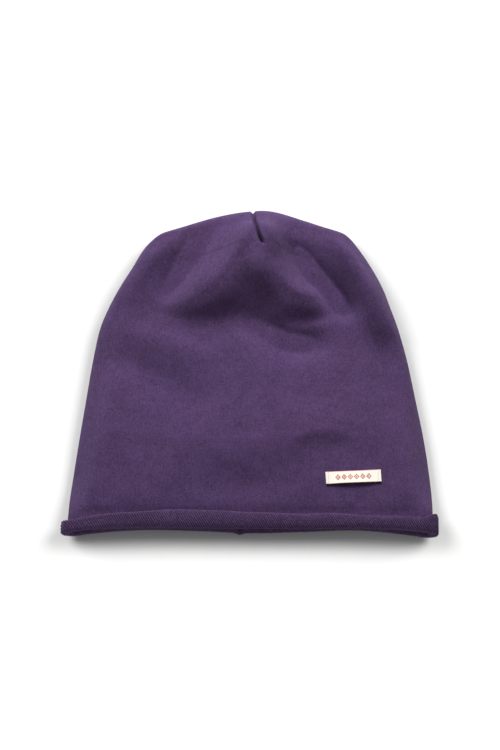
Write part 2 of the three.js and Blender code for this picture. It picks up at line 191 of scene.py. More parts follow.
# A line on the front of the roll near its right end, where one layer lies on another: the share of the way
# along the mouth where it sets in and how long that takes, its turn on the roll, its width and its depth.
LAYER_LINE = {"from": 0.84, "sets_in": 0.06, "turn": 2.2, "half_width": 0.2, "deep": 0.7}

# The yarn loops: the spacing of their rows along the mouth, that of the loops in a row, how far a row leans
# at each loop, their size, and the turns of the roll between which they show.
LOOP = {"wale": 1.65, "course": 1.05, "slant": 0.38, "long": 1.6, "wide": 0.85, "high": 1}
LOOP |= {"first_turn": -0.9, "last_turn": 3.6}
# How far a loop is off its place, how much it leans and how much its size varies, at random.
LOOP |= {"off_place": 0.06, "off_line": 0.25, "off_size": 0.2}
LOOP_SEED = 11
SHADE_SEED = 5
# The jersey's face: the spacing of its ribs, and that of the stitches in a rib.
WALE = 1.0
COURSE = 0.8

# The woven label, by its middle, its size, its turn in degrees and its thickness.
LABEL = {"x": 74.3, "y": -88.8, "width": 39.6, "height": 9.2, "turn": 2.8, "thick": 0.5}
# How far its face stands off the crown and its lower edge bows up, its turned-in ends and their stitches.
LABEL |= {"stands": 0.75, "bow": 1.1, "turned_in": 2.8, "stitched_at": 2.0, "stitches": 6}
# The groove that the stitches press into it, how far its ends are rounded down, and how long a step takes.
LABEL |= {"groove": 0.22, "groove_half_width": 0.35, "end_round": 0.3, "step": 0.5}
LABEL_POINTS = (97, 25)  # along and across the label
BOW_POWER = 1.5  # above 1, so that the bow is strongest along the lower edge
# A stitch of its thread: its length as a share of the stitches' spacing, its width and height, and how far it
# lies above the tape.
STITCH = {"long": 0.74, "wide": 0.42, "high": 0.36, "lies_up": 0.04}
# How far its two plies stand out and its ends bend down, as shares of its width and height, and how far
# the plies turn round it on each half of its length.
STITCH |= {"ply": 0.16, "bent_down": 0.8, "twist": 5}

# The tape's pattern: the size of a woven dot, the lozenges' spacing, half width and half height, how far from
# the tape's middle their row goes, the red edges' width, and the spacing of the threads both ways.
TAPE = {"dot": 0.28, "spacing": 4.4, "half_wide": 2.0, "half_high": 2.2, "row": 13.2, "red_edge": 0.32}
TAPE |= {"warp": 0.32, "weft": 0.26}

# Colours of the materials, as red, green, blue and 1. DYE is that of the cotton, without its 1.
DYE = (0.0612, 0.032, 0.094)
JERSEY_SHEEN = (0.55, 0.45, 0.65, 1)
YARN_SHEEN = (0.6, 0.5, 0.7, 1)
CREAM = ((0.8, 0.74, 0.62, 1), (0.98, 0.95, 0.87, 1))
RED = ((0.34, 0.02, 0.025, 1), (0.56, 0.045, 0.05, 1))
BEIGE = ((0.5, 0.4, 0.28, 1), (0.8, 0.7, 0.54, 1))
PAPER = ((0.7, 0.7, 0.695, 1), (0.72, 0.72, 0.715, 1))

# The floor, the lights and the camera, in metres. A light has its name, its place, the point that it shines
# at, its size and its power in watts.
FLOOR = {"size": 6, "z": -0.0003}  # just under the cloth
SKY = 0.34  # strength of the even white light from all round
LIGHTS = (
    ("window", (-0.12, 2.4, 1.55), (0, 0, 0), (1.8, 1), 161),
    ("softbox_left", (-2.8, 1.25, 2.9), (0, 0, 0), (2.2, 2.6), 180),
    ("softbox_right", (2.8, 1.25, 2.9), (0, 0, 0), (2.2, 2.6), 180),
    ("fill", (-1.1, -1.2, 1), (0, -0.12, 0), (0.6, 0.6), 8),
)
CAMERA = {"place": (0.0006, -0.4918, 1.2153), "target": (0.00064, -0.00483, 0.01), "lens": 85, "sensor": 36}


def columns_of(names, rows):
    """A table's columns by their names."""
    return {name: np.array([row[i] for row in rows], float) for i, name in enumerate(names)}


def mix(a, b, share):
    return a + (b - a) * share


def smooth(v):
    v = np.clip(v, 0, 1)
    return v * v * (3 - 2 * v)


def bell(v):
    return np.exp(-v * v)


def table_at(table, key, column, at):
    """A table's column at values of its key column, on one smooth curve through its rows."""
    keys = table[key]
    values = table[column]
    last = len(keys) - 1
    i = np.clip(np.searchsorted(keys, at, side="left") - 1, 0, last - 1)
    before = np.maximum(np.arange(last + 1) - 1, 0)
    after = np.minimum(np.arange(last + 1) + 1, last)
    slopes = (values[after] - values[before]) / (keys[after] - keys[before])
    span = keys[i + 1] - keys[i]
    u = np.clip((at - keys[i]) / span, 0, 1)
    return (
        (1 + 2 * u) * (1 - u) ** 2 * values[i]
        + u * (1 - u) ** 2 * span * slopes[i]
        + u * u * (3 - 2 * u) * values[i + 1]
        + u * u * (u - 1) * span * slopes[i + 1]
    )


sections = columns_of(SECTION_COLUMNS, SECTIONS)
gable_rows = columns_of(GABLE_COLUMNS, GABLE)
hem_rows = {"front": columns_of(HEM_COLUMNS, FRONT_HEM), "back": columns_of(HEM_COLUMNS, BACK_HEM)}
HEM_Y = SECTIONS[0][0]
TOP_Y = SECTIONS[-1][0]
TOP_LEFT, TOP_RIGHT, TOP_RISE = SECTIONS[-1][1:4]


def section(column, y):
    value = table_at(sections, "side_y", column, y)
    return np.maximum(value, 0) if column == "lift" else value


def gable(across):
    return table_at(gable_rows, "across", "up", np.clip(across, 0, 1))


def top_edge(x):
    return TOP_Y + TOP_RISE * gable((x - TOP_LEFT) / (TOP_RIGHT - TOP_LEFT))


def fold_height(fold, x, y):
    """Height that one ridge or valley adds at places, a row of soft bells along its run."""
    _, x0, y0, xm, ym, x1, y1, z0, zm, z1, left_w, right_w = fold
    u = np.linspace(0, 1, FOLD_STEPS + 1)
    # The middle control point makes the run pass through (xm, ym).
    run_x = (1 - u) ** 2 * x0 + 2 * u * (1 - u) * (2 * xm - (x0 + x1) / 2) + u * u * x1
    run_y = (1 - u) ** 2 * y0 + 2 * u * (1 - u) * (2 * ym - (y0 + y1) / 2) + u * u * y1
    high = z0 * (1 - u) * (1 - 2 * u) + 4 * zm * u * (1 - u) + z1 * u * (2 * u - 1)
    total = np.zeros(x.shape)
    for i in range(FOLD_STEPS):
        ahead_x = run_x[i + 1] - run_x[i]
        ahead_y = run_y[i + 1] - run_y[i]
        ahead = math.hypot(ahead_x, ahead_y)
        off_x = x - (run_x[i] + run_x[i + 1]) / 2
        off_y = y - (run_y[i] + run_y[i + 1]) / 2
        side = (ahead_x * off_y - ahead_y * off_x) / ahead
        width = mix(right_w, left_w, 0.5 + 0.5 * np.tanh(side / SIDE_BLEND))
        share = ahead / (width * math.sqrt(math.pi))
        total += (high[i] + high[i + 1]) / 2 * share * bell(np.hypot(off_x, off_y) / width)
    return total


def waves(x, y):
    """Soft unevenness at places."""
    total = np.zeros(x.shape)
    for n, (wide, high) in enumerate(WAVES):
        places = np.stack([x.ravel() / wide, y.ravel() / wide, np.full(x.size, WAVES_APART * n)], 1)
        values = np.array([noise.noise(Vector(place)) for place in places])
        total += high * values.reshape(x.shape)
    return total


def front_height(x, y):
    """Height of the front's outer face away from its outline, without the dart."""
    half = section("half", y)
    fold_middle = section("lift", y) + half
    swell = (
        smooth((x - section("left", y)) / SIDE_SWELL)
        * smooth((section("right", y) - x) / SIDE_SWELL)
        * smooth((top_edge(x) - y) / TOP_SWELL)
    )
    high = mix(fold_middle + half, section("crest", y), swell)
    for fold in FOLDS:
        high = high + fold_height(fold, x, y)
    over = high - LOWEST_FRONT
    return LOWEST_FRONT + (over + np.hypot(over, LOWEST_SOFTNESS)) / 2 + swell * waves(x, y)


def middle_line(side, y):
    """The line that the middle column follows: the dart on the front and the seam on the back."""
    along = (y - HEM_Y) / (TOP_Y - HEM_Y)
    if side == "back":
        return mix(BACK_SEAM["hem_x"], DART["top_x"], along)
    foot = DART["foot_y"] - TOP_RISE  # the row whose middle is at the dart's foot
    below = mix(0, DART["foot_x"], smooth((y - HEM_Y) / (foot - HEM_Y)))
    share = np.clip((y - foot) / (TOP_Y - foot), 0, 1)
    above = mix(DART["foot_x"], DART["top_x"], share * (1 + DART["bend"]) / (share + DART["bend"]))
    return np.where(y < foot, below, above)


def cloth_points(side, row_y, row_turn, x, turn):
    """The crown's outer face. row_y and row_turn are a column of rows, and x and turn are a grid."""
    left = section("left", row_y)
    right = section("right", row_y)
    across = (x - left) / (right - left)
    # Rows low down are arches, and those near the top edge take its form.
    near_top = np.clip((row_y - HEM_Y) / (TOP_Y - HEM_Y), 0, 1) ** 3
    arch = mix(4 * across * (1 - across), gable(across), near_top)
    off = x - middle_line(side, row_y)
    y = row_y + section("rise", row_y) * arch + section("skew", row_y) * (across - 0.5)
    in_fold = np.sin(row_turn) * np.sin(turn)
    half = section("half", row_y)
    fold_middle = section("lift", row_y) + half
    notch = NOTCH * bell(off / DART["half_width"]) * smooth(1 - (top_edge(x) - y) / NOTCH_REACH)
    if side == "back":
        groove = BACK_SEAM["deep"] * bell(off / BACK_SEAM["half_width"])
        z = fold_middle - in_fold * (half - groove)
    else:
        crease = DART["deep"] * bell(off / DART["half_width"])
        crease = crease * smooth((y - DART["foot_y"]) / DART["run_out"])
        high = front_height(x, y) - crease - fold_middle
        z = fold_middle + in_fold * np.maximum(high, half)
    return np.stack([x, y - notch, z], -1)


def make_rows():
    """The rows' places and turns, an angle that is 0 on the top edge and a right angle from the flat on."""
    flat = np.linspace(0, 1, FLAT_ROWS) ** ROWS_PACKED
    turns = np.linspace(math.pi / 2, 0, TURN_STEPS + 1)[1:]
    y = np.concatenate([mix(HEM_Y, TOP_Y - FOLD_ROUND, flat), TOP_Y - FOLD_ROUND * (1 - np.cos(turns))])
    return y[:, None], np.concatenate([np.full(FLAT_ROWS, math.pi / 2), turns])[:, None]


def make_columns(side, row_y, count):
    """A grid of places and one of turns, from the left fold to the right one."""
    turns = np.linspace(0, math.pi / 2, TURN_STEPS + 1)
    inset = FOLD_ROUND * (1 - np.cos(turns))
    share = np.linspace(0, 1, count + 1)[1:]
    middle = middle_line(side, row_y)
    near_dart = smooth((row_y - PACKED_FROM) / (PACKED_TO - PACKED_FROM)) if side == "front" else 0
    left = section("left", row_y) + inset
    right = section("right", row_y) - inset
    apart = mix(share, 1 - (1 - share) ** COLUMNS_PACKED, near_dart)
    left_part = mix(left[:, -1:], middle, apart)
    right_part = mix(right[:, -1:], middle, apart)
    x = np.concatenate([left, left_part, right_part[:, -2::-1], right[:, ::-1]], 1)
    flat = np.full(2 * count - 1, math.pi / 2)
    turn = np.concatenate([turns, flat, turns[::-1]])[None, :]
    return x, turn


def ring_grid(row_y, row_turn, front_count, back_count):
    """The crown's outer face as rows of a ring: the front from left to right, then the back to the left."""
    front = cloth_points("front", row_y, row_turn, *make_columns("front", row_y, front_count))
    back = cloth_points("back", row_y, row_turn, *make_columns("back", row_y, back_count))
    return np.concatenate([front, back[:, -2:0:-1]], 1)


def mesh_object(name, points, faces, uv=None):
    """A smooth-shaded object of points in millimetres and faces. uv is one pair for each face corner."""
    mesh = bpy.data.meshes.new(name)
    moved = (np.asarray(points, float) - [MIDDLE[0], MIDDLE[1], 0]) * MM
    mesh.from_pydata(moved.tolist(), [], faces.tolist() if hasattr(faces, "tolist") else faces)
    if uv is not None:
        layer = mesh.uv_layers.new(name="cloth")
        layer.uv.foreach_set("vector", np.asarray(uv, np.float32).ravel())
    mesh.shade_smooth()
    made = bpy.data.objects.new(name, mesh)
    bpy.context.scene.collection.objects.link(made)
    return made


def use(made):
    """Makes an object the only selected and active one."""
    bpy.ops.object.select_all(action="DESELECT")
    made.select_set(True)
    bpy.context.view_layer.objects.active = made


def thicken(made, thickness, *materials):
    """Gives a one-sided cloth its thickness, inwards. The last material is that of its inside and edges."""
    put_on(made, *materials)
    use(made)
    solid = made.modifiers.new("thickness", "SOLIDIFY")
    solid.thickness = thickness * MM
    solid.offset = -1
    solid.material_offset = len(materials) - 1
    solid.material_offset_rim = len(materials) - 1
    bpy.ops.object.modifier_apply(modifier=solid.name)


def grid_faces(rows, columns, closed):
    """Quads of a grid of points, and the grid places of their corners."""
    r, c = np.meshgrid(np.arange(rows - 1), np.arange(columns if closed else columns - 1), indexing="ij")
    corner_r = np.stack([r, r, r + 1, r + 1], -1).reshape(-1, 4)
    corner_c = np.stack([c, c + 1, c + 1, c], -1).reshape(-1, 4)
    return corner_r * columns + corner_c % columns, corner_r, corner_c


def make_crown(face, looped):
    row_y, row_turn = make_rows()
    grid = ring_grid(row_y, row_turn, FRONT_COLUMNS, BACK_COLUMNS)
    rows, columns = grid.shape[:2]
    faces, corner_r, corner_c = grid_faces(rows, columns, True)
    # The cloth's own coordinates run across from the middle of the front and up from the hem.
    closed = np.concatenate([grid, grid[:, :1]], 1)
    across = np.linalg.norm(np.diff(closed, axis=1), axis=2)
    across = np.concatenate([np.zeros((rows, 1)), np.cumsum(across, 1)], 1)
    middle = FRONT_COLUMNS + TURN_STEPS
    across = across - across[:, middle : middle + 1] + grid[:, middle : middle + 1, 0]
    up = np.linalg.norm(np.diff(grid, axis=0), axis=2)
    up = np.concatenate([np.zeros((1, columns)), np.cumsum(up, 0)], 0)
    # Past the back's seam they come from the other side, so the map's two ends meet at the seam.
    seam = 2 * middle + BACK_COLUMNS + TURN_STEPS
    past_seam = corner_c.max(1, keepdims=True) > seam
    round_ring = across[:, -1:] - across[:, :1]
    u = across[corner_r, corner_c] - np.where(past_seam, round_ring[corner_r, 0], 0)
    v = up[corner_r, corner_c % columns]
    uv = np.stack([u / PATTERN + MAP_MIDDLE, v / PATTERN + MAP_EDGE], -1)
    made = mesh_object("crown_cloth", grid.reshape(-1, 3), faces, uv.reshape(-1, 2))
    close_top(made)
    thicken(made, CLOTH, face, looped)
    return made


def close_top(made):
    """Merges the points where the front and the back meet on the top edge."""
    use(made)
    bpy.ops.object.mode_set(mode="EDIT")
    bpy.ops.mesh.select_all(action="SELECT")
    bpy.ops.mesh.remove_doubles(threshold=MERGE)
    bpy.ops.object.mode_set(mode="OBJECT")


def mouth_ring():
    """Even places round the crown's bottom edge, with the ways out of the cloth and up it at each."""
    turns = np.full((2, 1), math.pi / 2)
    rows = np.array([[HEM_Y], [HEM_Y + UP_STEP]])
    columns = 4 * FRONT_COLUMNS
    low, high = ring_grid(rows, turns, columns, columns)
    along = np.linalg.norm(np.diff(np.concatenate([low, low[:1]]), axis=0), axis=1)
    along = np.concatenate([[0], np.cumsum(along)])
    at = along[-1] * np.arange(HEM_STATIONS) / HEM_STATIONS
    low, high = (
        np.stack([np.interp(at, along, np.append(ring[:, k], ring[0, k])) for k in range(3)], 1)
        for ring in (low, high)
    )
    ahead = np.roll(low, -1, 0) - np.roll(low, 1, 0)
    out = np.stack([-ahead[:, 2], np.zeros(len(low)), ahead[:, 0]], 1)
    out /= np.linalg.norm(out, axis=1, keepdims=True)
    up = (high - low) / (high[:, 1:2] - low[:, 1:2])
    return low, out, up, along[-1]


def mouth_noise(places, waves, third):
    """Noise at places round the mouth. third is its third coordinate."""
    wide = waves["wide"]
    through = waves["through"]
    return np.array([noise.noise(Vector((x / wide, z / through, third))) for x, _, z in places])


def rounded(v, box):
    """The sine or cosine of a turn, made squarer."""
    return np.sign(v) * np.abs(v) ** (2 / box)


def hem_grid():
    """The rolled hem's looped side, one row of points for each place round the mouth, and its turns."""
    low, out, up, length = mouth_ring()
    left = section("left", HEM_Y)
    right = section("right", HEM_Y)
    across = (low[:, 0] - left) / (right - left)
    fold_middle = section("lift", HEM_Y) + section("half", HEM_Y)
    front = low[:, 2] > fold_middle
    below, above, off, box = (
        np.where(
            front,
            table_at(hem_rows["front"], "across", column, across),
            table_at(hem_rows["back"], "across", column, across),
        )
        for column in ("below", "above", "off", "box")
    )
    # The back seam's layers make the roll thicker.
    seam = np.where(front, 0, bell((low[:, 0] - BACK_SEAM["hem_x"]) / SEAM_BUMP["half_width"]))
    below = below + SEAM_BUMP["high"] * seam
    above = above + EDGE_WANDER["high"] * mouth_noise(low, EDGE_WANDER, EDGE_WANDER["shift"])
    half_out = (off + CLOTH) / 2
    half_down = (below + above) / 2
    middle_down = (below - above) / 2
    # The roll turns until it comes back to the crown.
    end = math.pi + np.arcsin(np.clip((half_out - CLOTH - HEM_GAP) / half_out, 0, 1) ** (box / 2))
    box = box[:, None]
    turn = mix(-math.pi / 2, end[:, None], np.linspace(0, 1, HEM_STEPS)[None, :])
    thirds = np.linspace(0, ROLL_WANDER["round"], HEM_STEPS)
    swell = 1 + ROLL_WANDER["high"] * np.stack([mouth_noise(low, ROLL_WANDER, third) for third in thirds], 1)
    groove = LAYER_LINE["deep"] * bell((turn - LAYER_LINE["turn"]) / LAYER_LINE["half_width"])
    groove = groove * (smooth((across - LAYER_LINE["from"]) / LAYER_LINE["sets_in"]) * front)[:, None]
    down = middle_down[:, None] + half_down[:, None] * rounded(np.cos(turn), box)
    outward = half_out[:, None] - CLOTH + (half_out[:, None] * swell - groove) * rounded(np.sin(turn), box)
    outward = np.maximum(outward, np.where(turn < math.pi, -CLOTH, HEM_GAP))
    halfway = mix(HEM_LIP, np.maximum(middle_down, HEM_LIP + HEM_LEAST), 0.5)
    lip = np.stack([np.full(HEM_STATIONS, HEM_LIP), halfway], 1)
    tuck = down[:, -1:] + TUCK * np.array([TUCK_POINTS])
    down = np.concatenate([lip, np.maximum(down, np.where(turn < 0, HEM_LIP, -np.inf)), tuck], 1)
    outward = np.concatenate([np.full(lip.shape, -CLOTH), outward, np.full(tuck.shape, HEM_GAP)], 1)
    turn = np.concatenate([np.full(lip.shape, LIP_TURN), turn, np.full(tuck.shape, TUCK_TURN)], 1)
    above_edge = np.minimum(down, 0)
    grid = low[:, None] - up[:, None] * above_edge[..., None] + out[:, None] * outward[..., None]
    grid[..., 1] -= np.maximum(down, 0)
    return grid, turn, length


def make_hem(grid, length, face, looped):
    stations, steps = grid.shape[:2]
    points = grid.transpose(1, 0, 2)
    faces, corner_r, corner_c = grid_faces(steps, stations, True)
    round_roll = np.cumsum(np.linalg.norm(np.diff(points, axis=0), axis=2).mean(1))
    round_roll = np.concatenate([[0], round_roll])
    u = corner_c / stations * length / PATTERN
    v = round_roll[corner_r] / PATTERN
    uv = np.stack([u + MAP_EDGE, v + MAP_MIDDLE], -1)
    made = mesh_object("rolled_hem_cloth", points.reshape(-1, 3), faces, uv.reshape(-1, 2))
    thicken(made, HEM_CLOTH, looped, face)
    return made


def take_shape(made):
    """A model's points and faces, in the same order each run. The model itself is removed."""
    points = np.array([v.co for v in made.data.vertices])
    faces = [list(p.vertices) for p in made.data.polygons]
    bpy.data.objects.remove(made)
    starts = [face.index(min(face)) for face in faces]
    return points, sorted(face[start:] + face[:start] for face, start in zip(faces, starts))


def shape_of_loop():
    """The points and faces of one yarn loop that stands out of the cloth, a low dome one unit long."""
    bpy.ops.mesh.primitive_uv_sphere_add(segments=6, ring_count=4, radius=0.5)
    made = bpy.context.object
    bpy.ops.object.mode_set(mode="EDIT")
    # What is left stands in the cloth with its open underside.
    bpy.ops.mesh.bisect(plane_co=(0, 0, -0.02), plane_no=(0, 0, 1), clear_inner=True)
    bpy.ops.object.mode_set(mode="OBJECT")
    return take_shape(made)


def copies(name, points, faces, places, frames, scales):
    """One mesh of many copies of a shape, each with its place, its own three axes and its three scales."""
    moved = np.einsum("pk,nk,nkj->npj", points, scales, frames) + places[:, None]
    count = len(points)
    every = [[v + n * count for v in face] for n in range(len(places)) for face in faces]
    corners = [v for face in faces for v in face]
    # The texture map says which copy a point is on, as a share picked at random, and how high up that copy.
    shade = np.random.default_rng(SHADE_SEED).uniform(0, 1, len(places))
    # The loops' finish uses that height to paint their tops lighter and their feet darker, as painted light
    # and shade.
    uv = np.stack([np.repeat(shade, len(corners)), np.tile(points[corners, 2] * 2, len(places))], -1)
    return mesh_object(name, moved.reshape(-1, 3), every, uv)


def unit(v):
    return v / np.maximum(np.linalg.norm(v, axis=-1, keepdims=True), np.finfo(float).tiny)


def make_loops(grid, turn, length):
    """The loops of the jersey's back, in slanting rows over the part of the roll that shows."""
    random = np.random.default_rng(LOOP_SEED)
    steps = np.linalg.norm(np.diff(grid, axis=1), axis=2)
    along = np.concatenate([np.zeros((len(grid), 1)), np.cumsum(steps, 1)], 1)
    courses = int(along.max() / LOOP["course"])
    at = (np.arange(courses) + 0.5) * LOOP["course"]
    even = np.stack([[np.interp(at, along[i], grid[i, :, k]) for k in range(3)] for i in range(len(grid))])
    even = even.transpose(0, 2, 1)
    turns = np.stack([np.interp(at, along[i], turn[i]) for i in range(len(grid))])
    roll_end = along[:, -len(TUCK_POINTS) - 1, None]
    shows = (turns > LOOP["first_turn"]) & (turns < LOOP["last_turn"]) & (at[None, :] < roll_end)
    wales = round(length / LOOP["wale"])
    column, course = np.meshgrid(np.arange(wales), np.arange(courses), indexing="ij")
    jitter = random.uniform(-1, 1, column.shape + (4,))
    station = (column - course * LOOP["slant"] + LOOP["off_place"] * jitter[..., 0]) * HEM_STATIONS / wales
    first = np.floor(station).astype(int)
    share = (station - first)[..., None]

    def pick(values, shift):
        return values[(first + shift) % HEM_STATIONS, course]

    place = mix(pick(even, 0), pick(even, 1), share)
    ahead = unit(pick(even, 1) - pick(even, 0))
    rise = np.gradient(even, axis=1)
    rise = unit(mix(pick(rise, 0), pick(rise, 1), share))
    slant = LOOP["slant"] * LOOP["wale"]
    slant = slant + LOOP["course"] * LOOP["off_line"] * jitter[..., 1:2]
    lengthways = unit(rise * LOOP["course"] - ahead * slant)
    normal = unit(np.cross(ahead, rise))
    sideways = np.cross(normal, lengthways)
    keep = (pick(shows, 0) & pick(shows, 1)).ravel()
    frames = np.stack([lengthways, sideways, normal], 2).reshape(-1, 3, 3)[keep]
    sizes = (1 + LOOP["off_size"] * jitter[..., 1:]).reshape(-1, 3)[keep]
    scales = np.array([LOOP["long"], LOOP["wide"], LOOP["high"]]) * sizes
    points, faces = shape_of_loop()
    return copies("hem_loops", points, faces, place.reshape(-1, 3)[keep], frames, scales)


def label_place(u, v, above):
    """Points above the crown at places of the label, from its middle."""
    turn = math.radians(LABEL["turn"])
    x = LABEL["x"] + u * math.cos(turn) - v * math.sin(turn)
    y = LABEL["y"] + u * math.sin(turn) + v * math.cos(turn)
    return np.stack([x, y, front_height(x, y) + above], -1)


def label_rise(u, v):
    """How far the label's upper face stands above the crown."""
    from_end = LABEL["width"] / 2 - np.abs(u)
    low_share = 0.5 - v / LABEL["height"]
    bow = LABEL["bow"] * np.cos(math.pi * u / LABEL["width"]) * np.clip(low_share, 0, 1) ** BOW_POWER
    doubled = LABEL["thick"] * 0.5 * smooth((LABEL["turned_in"] - from_end) / LABEL["step"])
    pressed = LABEL["groove"] * bell((from_end - LABEL["stitched_at"]) / LABEL["groove_half_width"])
    edge = LABEL["end_round"] * (1 - smooth(from_end / LABEL["step"]))
    return LABEL["stands"] + bow + doubled - pressed - edge


def make_label(tape):
    along, up = (np.linspace(-0.5, 0.5, count) for count in LABEL_POINTS)
    u, v = np.meshgrid(along * LABEL["width"], up * LABEL["height"], indexing="xy")
    grid = label_place(u, v, label_rise(u, v))
    faces, corner_r, corner_c = grid_faces(*u.shape, False)
    place = np.stack([u, v], -1)[corner_r, corner_c]
    uv = place / LABEL["width"] + MAP_MIDDLE
    made = mesh_object("label_tape", grid.reshape(-1, 3), faces, uv.reshape(-1, 2))
    thicken(made, LABEL["thick"], tape)
    return made


def shape_of_stitch():
    """The points and faces of one stitch of two twisted plies, bent down at both ends, one unit long."""
    bpy.ops.mesh.primitive_uv_sphere_add(segments=12, ring_count=14, radius=0.5, rotation=(0, math.pi / 2, 0))
    made = bpy.context.object
    bpy.ops.object.transform_apply(location=False, rotation=True, scale=False)
    points, faces = take_shape(made)
    # The ball becomes a rod with blunt ends, and then two plies.
    along = np.clip(2 * points[:, 0], -0.999, 0.999)
    rod = np.sqrt((1 - along**6) / (1 - along**2))
    plies = 1 + STITCH["ply"] * np.cos(2 * np.arctan2(points[:, 2], points[:, 1]) + STITCH["twist"] * along)
    points[:, 1:] *= (rod * plies)[:, None]
    points[:, 2] -= STITCH["bent_down"] * along**4
    return points, faces


def make_label_thread():
    """The running stitches that hold the label's two ends."""
    points, faces = shape_of_stitch()
    pitch = LABEL["height"] / LABEL["stitches"]
    v = (np.arange(LABEL["stitches"]) - (LABEL["stitches"] - 1) / 2) * pitch
    places = []
    for end in (-1, 1):
        u = np.full(len(v), end * (LABEL["width"] / 2 - LABEL["stitched_at"]))
        places.append(label_place(u, v, label_rise(u, v) + STITCH["lies_up"]))
    turn = math.radians(LABEL["turn"])
    axes = np.array([[-math.sin(turn), math.cos(turn), 0], [math.cos(turn), math.sin(turn), 0], [0, 0, 1]])
    places = np.concatenate(places)
    scales = np.tile([pitch * STITCH["long"], STITCH["wide"], STITCH["high"]], (len(places), 1))
    return copies("label_thread", points, faces, places, np.tile(axes, (len(places), 1, 1)), scales)


class Value:
    """The output of a shader node, with arithmetic that adds Math nodes."""

    def __init__(self, finish, socket):
        self.finish = finish
        self.socket = socket

    def math(self, operation, *values):
        return self.finish.node("ShaderNodeMath", {"operation": operation}, dict(enumerate(values)))

    def __add__(self, other):
        return self.math("ADD", self, other)

    def __sub__(self, other):
        return self.math("SUBTRACT", self, other)

    def __rsub__(self, other):
        return self.math("SUBTRACT", other, self)

    def __mul__(self, other):
        return self.math("MULTIPLY", self, other)

    def __truediv__(self, other):
        return self.math("DIVIDE", self, other)

    def __rtruediv__(self, other):
        return self.math("DIVIDE", other, self)

    def __abs__(self):
        return self.math("ABSOLUTE", self)

    __radd__ = __add__
    __rmul__ = __mul__

    def fraction(self):
        return self.math("FRACT", self)

    def sine(self):
        return self.math("SINE", self)

    def snapped(self, step):
        return self.math("SNAP", self, step)

    def most(self, other):
        return self.math("MAXIMUM", self, other)

    def below(self, limit, soft):
        """1 under a limit and 0 over it, with a soft change."""
        span = {0: self, 1: limit - soft, 2: limit + soft, 3: 1, 4: 0}
        return self.finish.node("ShaderNodeMapRange", {"interpolation_type": "SMOOTHSTEP"}, span)


class Finish:
    """A material with one Principled shader. What is the same all over is set on the shader's sockets."""

    def __init__(self, name, **uniform):
        self.material = bpy.data.materials.new(name)
        self.material.use_nodes = True
        self.tree = self.material.node_tree
        self.shader = self.tree.nodes["Principled BSDF"]
        for socket, value in uniform.items():
            self.shader.inputs[socket.replace("_", " ")].default_value = value

    def node(self, kind, settings, inputs, output=0):
        made = self.tree.nodes.new(kind)
        for name, value in settings.items():
            setattr(made, name, value)
        for socket, value in inputs.items():
            self.feed(made.inputs[socket], value)
        return Value(self, made.outputs[output])

    def feed(self, socket, value):
        if isinstance(value, Value):
            self.tree.links.new(value.socket, socket)
        else:
            socket.default_value = value

    def set(self, socket, value):
        self.feed(self.shader.inputs[socket], value)

    def cloth_place(self, span):
        """Places across and along the cloth in millimetres, from its texture map, which spans so many."""
        place = self.node("ShaderNodeUVMap", {"uv_map": "cloth"}, {})
        across = self.node("ShaderNodeSeparateXYZ", {}, {0: place}, 0)
        along = self.node("ShaderNodeSeparateXYZ", {}, {0: place}, 1)
        return across * span, along * span

    def vector(self, x, y):
        return self.node("ShaderNodeCombineXYZ", {}, {0: x, 1: y})

    def object_place(self):
        return self.node("ShaderNodeTexCoord", {}, {}, 3)

    def noise(self, place, scale, detail=2.0, roughness=0.5):
        """scale is waves a metre for an object's place, and waves a millimetre for a cloth's."""
        inputs = {"Vector": place, "Scale": scale, "Detail": detail, "Roughness": roughness}
        return self.node("ShaderNodeTexNoise", {}, inputs)

    def between(self, share, first, second):
        """A colour between two."""
        return self.node("ShaderNodeMix", {"data_type": "RGBA"}, {0: share, 6: first, 7: second}, 2)

    def bump(self, height, distance):
        """height is from 0 to 1, and distance is what 1 stands for, in metres."""
        inputs = {"Height": height, "Distance": distance, "Strength": 1.0}
        self.set("Normal", self.node("ShaderNodeBump", {}, inputs))


def purple(share, red=0.0):
    """The dyed cotton's colour, lighter as share grows, and warmer as red does."""
    return (DYE[0] * share * (1 + red), DYE[1] * share, DYE[2] * share * (1 - red), 1)


def jersey_face():
    """The smooth side of the jersey: upright ribs of small V stitches."""
    sheen = {"Sheen_Weight": 0.06, "Sheen_Roughness": 0.45, "Sheen_Tint": JERSEY_SHEEN}
    finish = Finish("jersey face", Roughness=0.95, Specular_IOR_Level=0.18, **sheen)
    across, along = finish.cloth_place(PATTERN)
    place = finish.object_place()
    # The ribs wander a little. Each has two legs, and its stitches are small Vs.
    drift = finish.noise(finish.vector(across, along * 0.25), scale=0.11)
    rib = (across * (1 / WALE) + drift * 1.6).fraction()
    from_middle = abs(rib * 2 - 1)
    legs = (from_middle * math.pi).sine()
    stitch = (along * (1 / COURSE) + from_middle * 0.55).fraction()
    tooth = (stitch * math.pi).sine()
    knit = legs * (0.55 + 0.45 * tooth)
    fuzz = finish.noise(place, scale=2300, detail=3, roughness=0.65)
    # The dyed cotton has streaks along its ribs, fine heathering, flecks and wider patches.
    streak = finish.noise(finish.vector(across * 1.1, along * 0.16), scale=1)
    heather = finish.noise(place, scale=760, detail=3, roughness=0.7)
    flecks = finish.noise(place, scale=210, detail=3, roughness=0.6)
    patches = finish.noise(place, scale=60, detail=3, roughness=0.6)
    # The knit's low places are darker: painted shade in its grooves.
    tone = 0.5 + 0.3 * (knit - 0.45)
    for pattern, weight in ((streak, 0.45), (heather, 1.4), (flecks, 0.4), (patches, 0.45)):
        tone = tone + weight * (pattern - 0.5)
    warm = finish.noise(place, scale=23)
    cool_side = finish.between(tone, purple(0.4, -0.05), purple(1.6, -0.05))
    warm_side = finish.between(tone, purple(0.4, 0.06), purple(1.6, 0.06))
    finish.set("Base Color", finish.between(warm, cool_side, warm_side))
    finish.bump(knit * 0.7 + fuzz * 0.5, distance=0.00022)
    return finish.material


